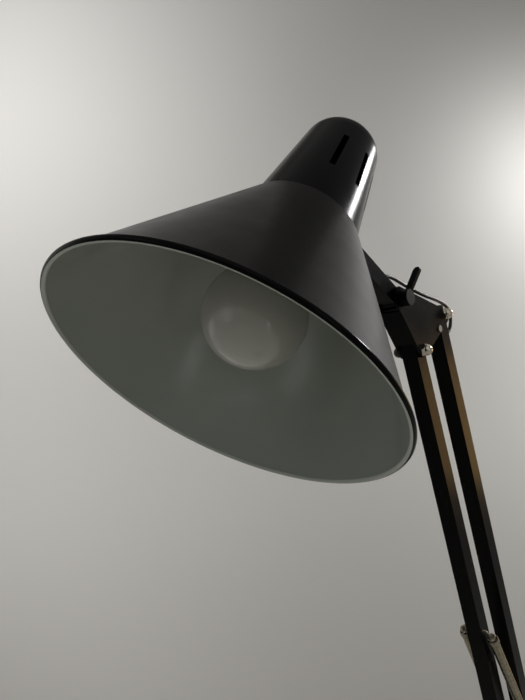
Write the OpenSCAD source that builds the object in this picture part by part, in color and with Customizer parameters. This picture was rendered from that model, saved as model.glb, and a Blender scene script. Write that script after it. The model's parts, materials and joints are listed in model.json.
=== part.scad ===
// Adjustable floor lamp: weighted base, pole, two spring-balanced arms and a conical shade.
// X points forward to the shade, Y lies along the pivot pins and Z is up.
// The origin is the middle of the underside of the base. All sizes are millimetres.

/* [Base] */
// Outside diameter of the base cover
base_d = 260; // [240:1:300]
// Height of the rounded edge of the base cover
base_edge_h = 18; // [16:1:24]
// Rise of the base cover from its edge to its middle
base_rise = 7; // [4:1:12]
// Radius of the rounded edge of the base cover
base_round = 8; // [5:1:10]
// Sheet thickness of the base cover
cover_wall = 1.2; // [0.8:0.1:2]
// Height of the lower edge of the base cover above the floor
cover_lift = 2; // [1:0.5:2.5]
// Radius of the flat seat in the middle of the base cover
base_seat_r = 26; // [24:1:36]
// Thickness of the pad under the base
pad_t = 3; // [2.5:0.5:5]
// Inset of the pad from the edge of the weight
pad_inset = 8; // [4:1:20]
// Diameter of the recess for the nut under the weight
recess_d = 52; // [48:1:70]
// Depth of the recess for the nut under the weight
recess_depth = 9.5; // [9.5:0.5:11]
// Diameter of the threaded stud at the foot of the pole
stud_d = 16; // [12:1:18]
// Thickness of the base washer
washer_t = 1.6; // [1.2:0.1:2]
// Diameter of the base washer
washer_d = 40; // [34:1:46]
// Height of the base nut
nut_h = 7; // [5:0.5:7.5]
// Width across the corners of the base nut
nut_d = 27; // [25:0.5:32]

/* [Pole] */
// Outside diameter of the pole tubes
pole_d = 22; // [20:0.5:25]
// Wall of the pole tubes
pole_wall = 1.5; // [1:0.1:2]
// Height of the joint between the two pole tubes
pole_joint_h = 340; // [250:1:450]
// Length of the joiner inside each pole tube
joiner_len = 40; // [25:1:60]
// Height of the ring of the joiner that shows between the tubes
joiner_ring_h = 4; // [2:0.5:10]
// Height of the trim flange at the foot of the pole
flange_h = 11; // [8:0.5:18]
// Diameter of the trim flange at the foot of the pole
flange_d = 46; // [40:1:52]
// Thickness of the shoulder of the pole foot
foot_shoulder_t = 3; // [2:0.5:4]
// Length of the pole foot inside the lower tube
foot_plug_len = 30; // [20:1:50]

/* [Turret] */
// Height of the pivots of the lower arm
turret_h = 680; // [600:1:760]
// Drop from the lower pivots to the floor plate of the turret
turret_drop = 30; // [26:0.5:40]
// Thickness of the floor plate of the turret
turret_floor_t = 4; // [3:0.5:6]
// Diameter of the swivel spigot
spigot_d = 14; // [12:0.5:15]
// Length of the swivel spigot
spigot_len = 45; // [30:1:60]
// Thickness of the flange of the swivel bush
bush_flange_t = 3; // [2:0.5:5]
// Diameter of the flange of the swivel bush
bush_flange_d = 26; // [26:0.5:30]

/* [Arms] */
// Width of the square arm tubes
tube_w = 13; // [11:0.1:14]
// Wall of the arm tubes
tube_wall = 1.2; // [0.8:0.1:1.6]
// Length of an arm tube past its pivot
tube_stub = 7; // [6:0.5:8]
// Pivot to pivot length of the lower arm
lower_len = 400; // [360:1:440]
// Pivot to pivot length of the upper arm
upper_len = 460; // [420:1:500]
// Backward lean of the lower arm at rest, in degrees
lower_lean = 25; // [15:1:32]
// Forward lean of the upper arm at rest, in degrees
upper_lean = 21.7; // [12:0.1:32]
// Level distance between the two pivots of the lower arm
lower_gap = 46; // [42:1:52]
// Level distance between the two pivots of the upper arm
upper_gap_x = 37; // [34:0.5:42]
// Height between the two pivots of the upper arm
upper_gap_z = 33.5; // [30:0.5:38]
// Height of the upper pair of elbow pivots above the lower pair
elbow_rise = 46; // [40:1:56]
// Backward set of the upper pair of elbow pivots
elbow_set = 6; // [2:1:12]
// Edge radius of the elbow plates round each pivot
elbow_r = 9; // [8:0.5:11]
// Diameter of the pivot pins
pin_d = 5; // [4:0.5:6]
// Sheet thickness of the brackets
sheet = 2; // [1.2:0.1:2.2]
// Diameter of the domed nuts on the pins
cap_d = 9; // [7.5:0.5:10]
// Height of the domed nuts on the pins
cap_h = 7; // [5:0.5:8]
// Reach of the long pins that hold the springs, past the plates
spring_pin_reach = 10.5; // [9.5:0.5:12]
// Diameter of the elbow spacer
spacer_d = 8; // [6:0.5:10]

/* [Springs] */
// Outside diameter of the balance springs
spring_d = 7.8; // [6.5:0.1:8.2]
// Diameter of the spring wire
wire_d = 1.3; // [1:0.1:1.6]
// Number of curls in a spring
spring_curls = 17; // [10:1:17]
// Radius of the small ring between the hook and the collar of a spring
ring_r = 2.1; // [1.8:0.1:2.5]
// Radius of the wider collar curls of a spring
collar_r = 3.9; // [3.4:0.1:4.2]
// Pitch of the collar curls
collar_pitch = 1.9; // [1.8:0.05:2.2]
// Length of the plain end of a spring before its eye
spring_tail = 10; // [8:1:16]
// Distance from the upper front pivot to the spring holes of the upper arm
upper_spring_at = 243; // [200:1:280]
// Distance from the lower front pivot to the spring holes of the lower arm
lower_spring_at = 230; // [200:1:260]
// Forward set of a spring hole in its tube
spring_hole_set = 3.5; // [1:0.5:4]

/* [Head] */
// Forward distance from the front pivot to the knuckle
knuckle_x = 29; // [26:0.5:34]
// Height of the knuckle above the front pivot
knuckle_z = 36; // [33:0.5:40]
// Edge radius of the head bracket round its front pivot
head_front_r = 5.5; // [5:0.5:7]
// Edge radius of the head bracket round its rear pivot
head_rear_r = 8; // [7:0.5:9]
// Edge radius of the head bracket round the knuckle
head_knuckle_r = 9.5; // [9.5:0.5:11]
// Height of the straight top edge of the head bracket above the rear pivot
head_edge = 4.2; // [4:0.1:6]
// Diameter of the knuckle bolt
bolt_d = 6; // [5:0.5:6]
// Diameter of the stop rivet
rivet_d = 4; // [3:0.5:4]
// Diameter of the hub of the wing knob
wing_hub_d = 12; // [10:0.5:13]
// Length of the hub of the wing knob
wing_hub_len = 6.5; // [5:0.5:9]
// Reach of the wing from the bolt
wing_reach = 24; // [18:0.5:26]
// Thickness of the wing
wing_t = 3; // [2:0.5:4]
// Angle of the wing about the bolt, in degrees
wing_angle = 108; // [90:1:130]

/* [Shade] */
// Outside diameter of the shade over its rolled rim
shade_d = 200; // [190:1:210]
// Height of the cone of the shade
shade_h = 115; // [108:1:120]
// Outside radius of the cone at its top
shade_top_r = 38.9; // [37.5:0.1:42]
// Sheet thickness of the cone
shade_wall = 1; // [0.6:0.1:1.5]
// Radius of the rolled rim
bead_r = 1.6; // [1.3:0.1:3]
// Lean of the axis of the shade at rest, in degrees
shade_lean = 33; // [20:0.5:45]
// Distance from the axis of the shade to the knuckle
strap_reach = 102.6; // [94:0.2:110]
// Height of the knuckle above the rim of the shade
knuckle_h = 151.6; // [146:0.2:158]
// Height at which the strap meets the cap
strap_foot_h = 141; // [139:0.5:146]
// Width of the square tube of the strap
strap_w = 12.7; // [11:0.1:13]
// Wall of the square tube of the strap
strap_wall = 1.2; // [1:0.1:2]
// Diameter of the boss of the strap at the knuckle
boss_d = 14; // [13.5:0.1:14]
// Outside radius of the cap at its foot
cap_foot_r = 36.2; // [35:0.1:37.2]
// Outside radius of the cap at its top, before rounding
cap_top_r = 25; // [23:0.1:28]
// Height of the cap
cap_len = 94.5; // [86:0.5:104]
// Radius of the rounded top of the cap
cap_round = 16; // [10:0.5:18]
// Wall of the cap
cap_wall = 1.4; // [1:0.1:2]
// Width of the vent slots
slot_w = 3.8; // [3:0.1:4.5]
// Length of the vent slots
slot_len = 34; // [26:1:40]
// Height of the vent slots above the foot of the cap
slot_rise = 31; // [28:1:38]
// Number of vent slots on each side
slot_count = 3; // [1:1:3]
// Angle between the vent slots, in degrees
slot_step = 36; // [30:0.5:38]
// Corner radius of the vent slots
slot_round = 0.9; // [0.5:0.1:1.4]

/* [Bulb] */
// Diameter of the bulb
bulb_d = 60; // [55:1:64]
// Height of the middle of the bulb above the rim of the shade
bulb_h = 47; // [44:0.5:50]
// Length from the middle of the bulb to its screw base
bulb_neck = 48; // [46:0.5:52]
// Diameter of the screw base of the bulb
screw_d = 26.4; // [26:0.1:26.8]
// Length of the screw base of the bulb
screw_len = 25; // [22:0.5:26]
// Diameter of the threaded skirt of the lamp holder
holder_d = 40; // [38:0.5:42]
// Length of the lamp holder above the cone
holder_top = 36; // [32:1:44]

/* [Switch and lead] */
// Diameter of the thread of the push switch
switch_d = 12; // [10:0.5:13]
// Length of the push switch inside the cap
switch_len = 24; // [18:1:28]
// Height of the thread of the push switch above the cap
switch_rise = 4; // [3.5:0.5:5]
// Height of the nut of the push switch
switch_nut_h = 3; // [2:0.5:3]
// Diameter of the nut of the push switch
switch_nut_d = 17; // [16:0.5:18]
// Diameter of the button of the push switch
button_d = 8; // [6:0.5:8]
// Height of the button above the thread
button_rise = 5; // [4:0.5:7]
// Travel of the button
button_travel = 2.5; // [1.5:0.5:3]
// Diameter of the thin lead on the arms
arm_lead_d = 3; // [2.4:0.1:3.2]
// Diameter of the bore of the lead gland
gland_bore = 5.4; // [4.5:0.1:6]
// Angle of the lead gland round the base, in degrees
gland_angle = 180; // [150:1:210]

/* [Clearances] */
// Radial running clearance of a pin in its bore
pin_fit = 0.05; // [0.03:0.01:0.08]
// Gap between pieces that are fixed together
seat_gap = 0.05; // [0.03:0.01:0.1]
// Side gap between a tube and the bracket round it
side_gap = 0.8; // [0.5:0.1:1]
// Gap between faces that turn on each other
thrust_gap = 0.3; // [0.2:0.05:0.5]
// Gap round the weight under the cover
cover_gap = 0.4; // [0.2:0.1:0.6]
// Gap round a lead where it enters a piece
lead_gap = 0.4; // [0.3:0.05:0.6]

/* [Hidden] */
$fn = 64;
black = [0.07, 0.07, 0.07];
satin_black = [0.10, 0.10, 0.10];
nickel = [0.72, 0.70, 0.66];
iron = [0.25, 0.25, 0.26];

// Base heights and radii
base_r = base_d / 2;
weight_inset = cover_wall + cover_gap;
seat_h = base_edge_h + base_rise;
recess_top = pad_t + recess_depth;
nut_top = recess_top - washer_t;

// Pole heights
pole_r = pole_d / 2;
pole_bore = pole_r - pole_wall;
pole_foot_h = seat_h + foot_shoulder_t;
turret_floor = turret_h - turret_drop;
pole_top = turret_floor - turret_floor_t - thrust_gap - bush_flange_t;

// Places of the plates across the pins
cheek_in = tube_w / 2 + side_gap;
cheek_out = cheek_in + sheet;
pin_end = cheek_out + cap_h / 2;
long_end = cheek_out + spring_pin_reach;
spring_side = cheek_out + spring_d / 2 + side_gap;
arm_spring_side = tube_w / 2 + spring_d / 2 + 2 * side_gap;

// Pivots in the side view, as x and z
lower_up = [-sin(lower_lean), cos(lower_lean)];
upper_up = [sin(upper_lean), cos(upper_lean)];
upper_pair = [-upper_gap_x, upper_gap_z];
turret_front = [lower_gap / 2, turret_h];
turret_rear = [-lower_gap / 2, turret_h];
elbow_low_front = turret_front + lower_len * lower_up;
elbow_low_rear = turret_rear + lower_len * lower_up;
elbow_top_front = elbow_low_front + [-elbow_set, elbow_rise];
elbow_top_rear = elbow_top_front + upper_pair;
head_front = elbow_top_front + upper_len * upper_up;
head_rear = head_front + upper_pair;
knuckle = head_front + [knuckle_x, knuckle_z];
shade_out = [cos(shade_lean), sin(shade_lean)];
shade_up = [-sin(shade_lean), cos(shade_lean)];
rim_centre = knuckle + strap_reach * shade_out - knuckle_h * shade_up;
stop_place = head_rear + [10, -13.5];
spacer_place = elbow_low_front + [-lower_gap / 2, elbow_rise * 0.6];
pin_stop_r = norm([tube_w / 2, tube_stub]);

// Shade profile
cone_r = shade_d / 2 - bead_r;
cone_slope = (cone_r - shade_top_r) / shade_h;
cone_wall_x = shade_wall * norm([1, cone_slope]);
holder_r = holder_d / 2;
top_hole_r = holder_r + seat_gap;
cap_taper = atan((cap_foot_r - cap_top_r) / cap_len);
cap_z0 = shade_h + seat_gap;
cap_z1 = cap_z0 + cap_len;
boss_ring_r = cap_foot_r - cap_wall - 3.4;
boss_post_h = 12;
screw_angles = [60, 180, 300];
lead_hole_h = 160;
lead_hole_side = 6;

// Bulb: where the round part runs into the neck
bulb_r = bulb_d / 2;
neck_r = screw_d / 2 + 0.3;
neck_join = bulb_r * 0.35;
glass_t = 1;
screw_z0 = bulb_h + bulb_neck + seat_gap;
holder_bore = neck_r + 0.6;
holder_mouth = screw_z0 + 3;
holder_floor = screw_z0 + screw_len + 1;

// Lead gland in the edge of the base
gland_z = 9;
gland_root_r = gland_bore / 2 + 1.3;
gland_flange_r = gland_root_r + 1.8;

// Routes of the thin lead, as offsets chosen by hand from the pivots that it passes
lead_hole_at = 26;
head_hole_at = 20;
turret_hole_at = 22;
head_offsets = [[8.5, -4.5, 19.2], [-6.5, -4, 19.8], [-22.5, -3.5, 17.6]];
bracket_offsets = [[-22.5, -3.5, 17.6], [-37.5, -2.5, 14.9], [-52, -1, 12.8], [-65, 0, 11.9], [-78, 0, 11.1],
    [-89, 0, 8.8], [-95, 0, 4.4], [-96.6, 0, -2.8], [-92.5, 0, -12]];
elbow_up_offsets = [[-51.5, 0, 111], [-62, 0, 108.5], [-69, 0, 100], [-72, 0, 88], [-73, 0, 74], [-73, 0, 58],
    [-73, 0, 40]];
elbow_low_offsets = [[-73, 0, 40], [-73, 0, 24], [-72, 0, 9], [-69, 0, -6], [-65, 0, -19], [-59, 0, -28.5],
    [-51.5, 0, -31.3]];
turret_offsets = [[4, 0, 26], [10.5, 0, 25], [15, 0, 18], [18.5, 0, 7], [21, 0, -7], [22.6, 0, -19]];
function beside(p, offsets) = [for (o = offsets) [p[0] + o[0], o[1], p[1] + o[2]]];

// Small helpers for directions and outlines
function unit(v) = v / norm(v);
function turn(a) = [cos(a), sin(a)];
function lift(p, y) = [p[0], y, p[1]];
function slab(c1, r1, c2, r2) = let (
    f = atan2(c2[1] - c1[1], c2[0] - c1[0]),
    s = acos((r1 - r2) / norm(c2 - c1)))
    [c1 + r1 * turn(f + s), c2 + r2 * turn(f + s), c2 + r2 * turn(f - s), c1 + r1 * turn(f - s)];

// A round bar along the pin axis at a place of the side view
module across(p, r, y0, y1)
    translate([p[0], y1, p[1]]) rotate([90, 0, 0]) cylinder(r = r, h = y1 - y0);

// A plate in the side view with a rounded corner at each place, the places in turn to the left
module linked_plate(places, radii, y0, y1) {
    count = len(places);
    bands = [for (i = [0 : count - 1])
        slab(places[i], radii[i], places[(i + 1) % count], radii[(i + 1) % count])];
    translate([0, y1, 0]) rotate([90, 0, 0]) linear_extrude(height = y1 - y0) {
        polygon([for (b = bands) for (k = [3, 2]) b[k]]);
        for (i = [0 : count - 1])
            translate(places[i]) circle(r = radii[i]);
    }
}

// A flat plate in the side view from its corner points
module side_plate(points, y0, y1)
    translate([0, y1, 0]) rotate([90, 0, 0]) linear_extrude(height = y1 - y0) polygon(points);

// A soft route through its own places
function smooth(p, m) = concat([for (i = [0 : len(p) - 2]) let (
    p0 = p[max(i - 1, 0)], p1 = p[i], p2 = p[i + 1], p3 = p[min(i + 2, len(p) - 1)])
    for (k = [0 : m - 1]) let (t = k / m)
        0.5 * (2 * p1 + (p2 - p0) * t + (2 * p0 - 5 * p1 + 4 * p2 - p3) * t * t
            + (3 * p1 - p0 - 3 * p2 + p3) * t * t * t)], [p[len(p) - 1]]);
function tangents(p, a, b) = [for (i = [0 : len(p) - 1])
    i == 0 ? (norm(a) > 0 ? a : unit(p[1] - p[0]))
    : i == len(p) - 1 ? (norm(b) > 0 ? b : unit(p[i] - p[i - 1]))
    : unit(unit(p[i + 1] - p[i]) + unit(p[i] - p[i - 1]))];
function carried(t, n, i) = let (m = unit(n - (n * t[i]) * t[i]))
    i == len(t) - 1 ? [m] : concat([m], carried(t, m, i + 1));

// A round tube swept along a route, with given directions at its two ends
module tube(p, d, sides, a = [0, 0, 0], b = [0, 0, 0]) {
    t = tangents(p, a, b);
    n = carried(t, abs(t[0][2]) < 0.8 ? [0, 0, 1] : [1, 0, 0], 0);
    last = (len(p) - 1) * sides;
    points = [for (i = [0 : len(p) - 1]) for (k = [0 : sides - 1])
        p[i] + d / 2 * (cos(k * 360 / sides) * n[i] + sin(k * 360 / sides) * cross(t[i], n[i]))];
    side_a = [for (i = [0 : len(p) - 2]) for (k = [0 : sides - 1])
        [i * sides + k, (i + 1) * sides + k, (i + 1) * sides + (k + 1) % sides]];
    side_b = [for (i = [0 : len(p) - 2]) for (k = [0 : sides - 1])
        [i * sides + k, (i + 1) * sides + (k + 1) % sides, i * sides + (k + 1) % sides]];
    end_a = [for (k = [1 : sides - 2]) [0, k, k + 1]];
    end_b = [for (k = [1 : sides - 2]) [last, last + k + 1, last + k]];
    polyhedron(points = points, faces = concat(side_a, side_b, end_a, end_b));
}

// Base
module base_outline(r, z0, edge, round_r) {
    polygon([[0, z0], [r, z0], [r, edge - round_r], [r - round_r, edge], [base_seat_r, edge + base_rise],
        [0, edge + base_rise]]);
    translate([r - round_r, edge - round_r]) circle(r = round_r);
}
module base_weight() color(iron) difference() {
    rotate_extrude() base_outline(base_r - weight_inset, pad_t, base_edge_h - weight_inset,
        base_round - weight_inset);
    translate([0, 0, -1]) cylinder(d = stud_d + 2 * cover_gap, h = seat_h + 2);
    translate([0, 0, -1]) cylinder(d = recess_d, h = recess_top + 1);
}
module base_cover() color(black) difference() {
    rotate_extrude() base_outline(base_r, cover_lift, base_edge_h, base_round);
    rotate_extrude() base_outline(base_r - cover_wall, -1, base_edge_h - cover_wall, base_round - cover_wall);
    cylinder(d = stud_d + 2 * cover_gap, h = seat_h + 1);
    rotate([0, 0, gland_angle]) translate([base_r, 0, gland_z]) rotate([0, 90, 0])
        cylinder(r = gland_root_r + seat_gap, h = 6, center = true);
}
module base_pad() color([0.2, 0.2, 0.2])
    cylinder(r = base_r - weight_inset - pad_inset, h = pad_t);
module base_washer() color(nickel) difference() {
    translate([0, 0, nut_top]) cylinder(d = washer_d, h = washer_t - seat_gap);
    cylinder(d = stud_d + 2 * cover_gap, h = seat_h);
}
module base_nut() color(nickel) difference() {
    translate([0, 0, nut_top - nut_h]) cylinder(d = nut_d, h = nut_h - seat_gap, $fn = 6);
    cylinder(d = stud_d + 2 * seat_gap, h = seat_h);
}

// Pole
module pole_foot() color(nickel) difference() {
    union() {
        translate([0, 0, nut_top - nut_h]) cylinder(d = stud_d, h = pole_foot_h - nut_top + nut_h);
        translate([0, 0, seat_h + seat_gap]) cylinder(r = pole_r + 1.5, h = foot_shoulder_t - seat_gap);
        translate([0, 0, seat_h + 1]) cylinder(r = pole_bore - seat_gap, h = foot_plug_len + 2);
    }
    cylinder(d = stud_d - 7, h = pole_foot_h + foot_plug_len + 5);
}
module pole_flange() color(black) difference() {
    translate([0, 0, seat_h + seat_gap]) cylinder(d1 = flange_d, d2 = pole_d + 6, h = flange_h);
    translate([0, 0, seat_h - 1]) cylinder(r = pole_r + 1.5 + thrust_gap, h = foot_shoulder_t + 1.5);
    translate([0, 0, seat_h - 1]) cylinder(r = pole_r + seat_gap, h = flange_h + 3);
}
module pole_tube(z0, z1) color(black) difference() {
    translate([0, 0, z0]) cylinder(r = pole_r, h = z1 - z0);
    translate([0, 0, z0 - 1]) cylinder(r = pole_bore, h = z1 - z0 + 2);
}
module pole_lower() pole_tube(pole_foot_h + seat_gap, pole_joint_h);
module pole_upper() pole_tube(pole_joint_h + joiner_ring_h, pole_top);
module pole_joiner() color(nickel) difference() {
    union() {
        translate([0, 0, pole_joint_h - joiner_len])
            cylinder(r = pole_bore - seat_gap, h = 2 * joiner_len + joiner_ring_h);
        translate([0, 0, pole_joint_h + seat_gap])
            cylinder(r = pole_r + 1, h = joiner_ring_h - 2 * seat_gap);
    }
    translate([0, 0, pole_joint_h - joiner_len - 1])
        cylinder(r = pole_bore - 2, h = 2 * joiner_len + joiner_ring_h + 2);
}
module swivel_bush() color([0.85, 0.83, 0.78]) difference() {
    union() {
        translate([0, 0, pole_top + seat_gap]) cylinder(d = bush_flange_d, h = bush_flange_t - seat_gap);
        translate([0, 0, pole_top - spigot_len - 2])
            cylinder(r = pole_bore - seat_gap, h = spigot_len + bush_flange_t);
    }
    translate([0, 0, pole_top - spigot_len - 3])
        cylinder(d = spigot_d + 2 * pin_fit, h = spigot_len + bush_flange_t + 10);
}

// Turret
module turret_bracket() color(black) difference() {
    union() {
        for (s = [-1, 1]) {
            linked_plate([turret_rear, turret_front], [elbow_r, elbow_r], min(s * cheek_in, s * cheek_out),
                max(s * cheek_in, s * cheek_out));
            side_plate([[-lower_gap / 2 - elbow_r, turret_h], [lower_gap / 2 + elbow_r, turret_h],
                [lower_gap / 2 + 3, turret_floor - turret_floor_t],
                [-lower_gap / 2 - 3, turret_floor - turret_floor_t]],
                min(s * cheek_in, s * cheek_out), max(s * cheek_in, s * cheek_out));
        }
        translate([-lower_gap / 2 - 3, -cheek_out, turret_floor - turret_floor_t])
            cube([lower_gap + 6, 2 * cheek_out, turret_floor_t]);
    }
    for (p = [turret_front, turret_rear])
        across(p, pin_d / 2 + seat_gap, -cheek_out - 1, cheek_out + 1);
    translate([0, 0, turret_floor - turret_floor_t - 1]) cylinder(d = spigot_d - 4, h = turret_floor_t + 2);
}
module swivel_spigot() color(nickel) difference() {
    union() {
        translate([0, 0, turret_floor - turret_floor_t - seat_gap - spigot_len])
            cylinder(d = spigot_d, h = spigot_len);
        translate([0, 0, turret_floor - turret_floor_t - 1])
            cylinder(d = spigot_d - 4 - 2 * seat_gap, h = turret_floor_t + 2);
        translate([0, 0, turret_floor + seat_gap]) cylinder(d = spigot_d - 1, h = 2);
    }
    translate([0, 0, turret_floor - turret_floor_t - spigot_len - 1])
        cylinder(d = arm_lead_d + 2 * lead_gap, h = spigot_len + turret_floor_t + 6);
}
module turret_pins() color(nickel) {
    across(turret_front, pin_d / 2, -pin_end, pin_end);
    across(turret_rear, pin_d / 2, -long_end, long_end);
}

// Ends of the pins: a bright domed nut on the left and a black round head on the right
module pin_dome() {
    dome_r = cap_d / 2 - 0.2;
    cylinder(r = dome_r, h = max(0.2, cap_h - dome_r), $fn = 48);
    intersection() {
        translate([0, 0, cap_h - dome_r]) sphere(r = dome_r, $fn = 48);
        cylinder(d = cap_d + 2, h = cap_h + 1);
    }
}
module pin_socket() translate([0, 0, -1]) cylinder(d = pin_d + 2 * seat_gap, h = cap_h / 2 + 1.1);
module at_pin_end(p, reach, s) translate([p[0], s * (reach - cap_h / 2 + seat_gap), p[1]])
    rotate([-90 * s, 0, 0]) children();
module pin_cap(p, reach) at_pin_end(p, reach, 1) difference() {
    union() {
        intersection() {
            cylinder(r = cap_d / 2 / cos(30), h = cap_h * 0.45, $fn = 6);
            cylinder(r1 = cap_d / 2 + 2.2, r2 = cap_d / 2 + 0.1, h = cap_h * 0.45);
        }
        pin_dome();
    }
    pin_socket();
}
module pin_head(p, reach) at_pin_end(p, reach, -1) difference() {
    pin_dome();
    pin_socket();
}
module turret_pin_caps() color(nickel) {
    pin_cap(turret_front, pin_end);
    pin_cap(turret_rear, long_end);
}
module turret_pin_heads() color(satin_black) {
    pin_head(turret_front, pin_end);
    pin_head(turret_rear, long_end);
}

// Arm tubes, each standing on its lower pivot
module arm_tube(length, low_fit, top_fit) {
    difference() {
        translate([-tube_w / 2, -tube_w / 2, -tube_stub]) cube([tube_w, tube_w, length + 2 * tube_stub]);
        translate([tube_wall - tube_w / 2, tube_wall - tube_w / 2, -tube_stub - 1])
            cube([tube_w - 2 * tube_wall, tube_w - 2 * tube_wall, length + 2 * tube_stub + 2]);
        across([0, 0], pin_d / 2 + low_fit, -tube_w, tube_w);
        across([0, length], pin_d / 2 + top_fit, -tube_w, tube_w);
    }
}
module lead_hole(side, z) translate([side * tube_w / 2, 0, z]) rotate([0, 90, 0])
    cylinder(d = arm_lead_d + 2 * lead_gap, h = 4 * tube_wall, center = true);
module on_lower(p) translate(lift(p, 0)) rotate([0, -lower_lean, 0]) children();
module on_upper(p) translate(lift(p, 0)) rotate([0, upper_lean, 0]) children();
module lower_front_bar() color(black) on_lower(turret_front) difference() {
    arm_tube(lower_len, pin_fit, 2 * pin_fit);
    across([spring_hole_set, lower_spring_at], wire_d / 2 + lead_gap, -tube_w, tube_w);
}
module lower_rear_bar() color(black) on_lower(turret_rear) difference() {
    arm_tube(lower_len, pin_fit, pin_fit);
    lead_hole(1, turret_hole_at);
    lead_hole(-1, lower_len - lead_hole_at);
}
module upper_front_bar() color(black) on_upper(elbow_top_front) difference() {
    arm_tube(upper_len, pin_fit, 2 * pin_fit);
    across([spring_hole_set, upper_len - upper_spring_at], wire_d / 2 + lead_gap, -tube_w, tube_w);
}
module upper_rear_bar() color(black) on_upper(elbow_top_rear) difference() {
    arm_tube(upper_len, pin_fit, pin_fit);
    lead_hole(-1, lead_hole_at);
    lead_hole(-1, upper_len - head_hole_at);
}

// Balance springs, drawn with few curls: a hook in the tube's side, a small ring, a wider collar, the long
// body and an eye round a long pin. Each is given by its hole, the directions of its tube and its pin.
lower_way = [cos(lower_lean), sin(lower_lean)];
upper_way = [cos(upper_lean), -sin(upper_lean)];
lower_hole = turret_front + lower_spring_at * lower_up + spring_hole_set * lower_way;
upper_hole = head_front - upper_spring_at * upper_up + spring_hole_set * upper_way;
body_r = (spring_d - wire_d) / 2;
eye_r = pin_d / 2 + thrust_gap + wire_d / 2;
body_from = 32;
function curl_radius(i) = i < 8 ? ring_r : i < 12 ? ring_r + (collar_r - ring_r) * (i - 8) / 4
    : i < 28 ? collar_r : i < body_from ? collar_r + (body_r - collar_r) * (i - 28) / 4 : body_r;
function curl_rise(i) = i < 8 ? 2.2 * i / 8 : i < 12 ? 2.2 + 2.2 * (i - 8) / 4
    : i < 28 ? 4.4 + collar_pitch * (i - 12) / 8 : 4.4 + 2 * collar_pitch + 2.2 * (i - 28) / 4;
function spring_route(hole, up, way, to, s) = let (
    first = lift(hole - 5 * up - 2.3 * way, s * arm_spring_side),
    eye = lift(to, s * spring_side),
    axis = unit(eye - first),
    out = unit(cross(axis, [0, 1, 0])),
    side = cross(axis, out),
    steps = body_from + 8 * spring_curls,
    body_z = curl_rise(body_from),
    run = norm(eye - first) - spring_tail - body_z)
    concat([lift(hole, s * (tube_w / 2 - 3)), lift(hole, s * (tube_w / 2 + 2.6)),
            lift(hole - 2.2 * up, s * (arm_spring_side - 0.6))],
        [for (i = [0 : steps]) first + (i < body_from ? curl_rise(i)
            : body_z + run * (i - body_from) / (steps - body_from)) * axis
            + curl_radius(i) * (cos(45 * i) * out + sin(45 * i) * side)],
        [eye - 5 * axis + eye_r * out],
        [for (k = [0 : 6]) eye + eye_r * (cos(40 * k) * out + sin(40 * k) * axis)]);
function least_gap(p, apart) = min([for (i = [0 : len(p) - 1]) for (j = [i + apart : 1 : len(p) - 1])
    norm(p[i] - p[j])]) - wire_d;
echo(least_gap_lower_spring = least_gap(spring_route(lower_hole, lower_up, lower_way, turret_rear, 1), 5));
echo(least_gap_upper_spring = least_gap(spring_route(upper_hole, upper_up, upper_way, elbow_top_rear, 1), 5));
module springs(hole, up, way, to) for (s = [-1, 1])
    tube(spring_route(hole, up, way, to, s), wire_d, 6, [0, s, 0]);
module lower_springs() color(nickel) springs(lower_hole, lower_up, lower_way, turret_rear);
module upper_springs() color(nickel) springs(upper_hole, upper_up, upper_way, elbow_top_rear);

// Elbow
elbow_places = [elbow_low_front, elbow_top_front, elbow_top_rear, elbow_low_rear];
module elbow_plate(y0, y1) difference() {
    linked_plate(elbow_places, [elbow_r, elbow_r, elbow_r, elbow_r], y0, y1);
    for (p = elbow_places)
        across(p, pin_d / 2 + seat_gap, y0 - 1, y1 + 1);
    across(spacer_place, pin_d / 2 + seat_gap, y0 - 1, y1 + 1);
}
module elbow_plate_left() color(black) elbow_plate(cheek_in, cheek_out);
module elbow_plate_right() color(black) elbow_plate(-cheek_out, -cheek_in);
module elbow_pins() color(nickel) {
    for (p = [elbow_low_front, elbow_low_rear, elbow_top_front, spacer_place])
        across(p, pin_d / 2, -pin_end, pin_end);
    across(elbow_top_rear, pin_d / 2, -long_end, long_end);
}
module elbow_pin_caps() color(nickel) {
    for (p = [elbow_low_front, elbow_low_rear, elbow_top_front, spacer_place])
        pin_cap(p, pin_end);
    pin_cap(elbow_top_rear, long_end);
}
module elbow_pin_heads() color(satin_black) {
    for (p = [elbow_low_front, elbow_low_rear, elbow_top_front, spacer_place])
        pin_head(p, pin_end);
    pin_head(elbow_top_rear, long_end);
}
module elbow_spacer() color(nickel) difference() {
    across(spacer_place, spacer_d / 2, seat_gap - cheek_in, cheek_in - seat_gap);
    across(spacer_place, pin_d / 2 + seat_gap, -cheek_in - 1, cheek_in + 1);
}

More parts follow.
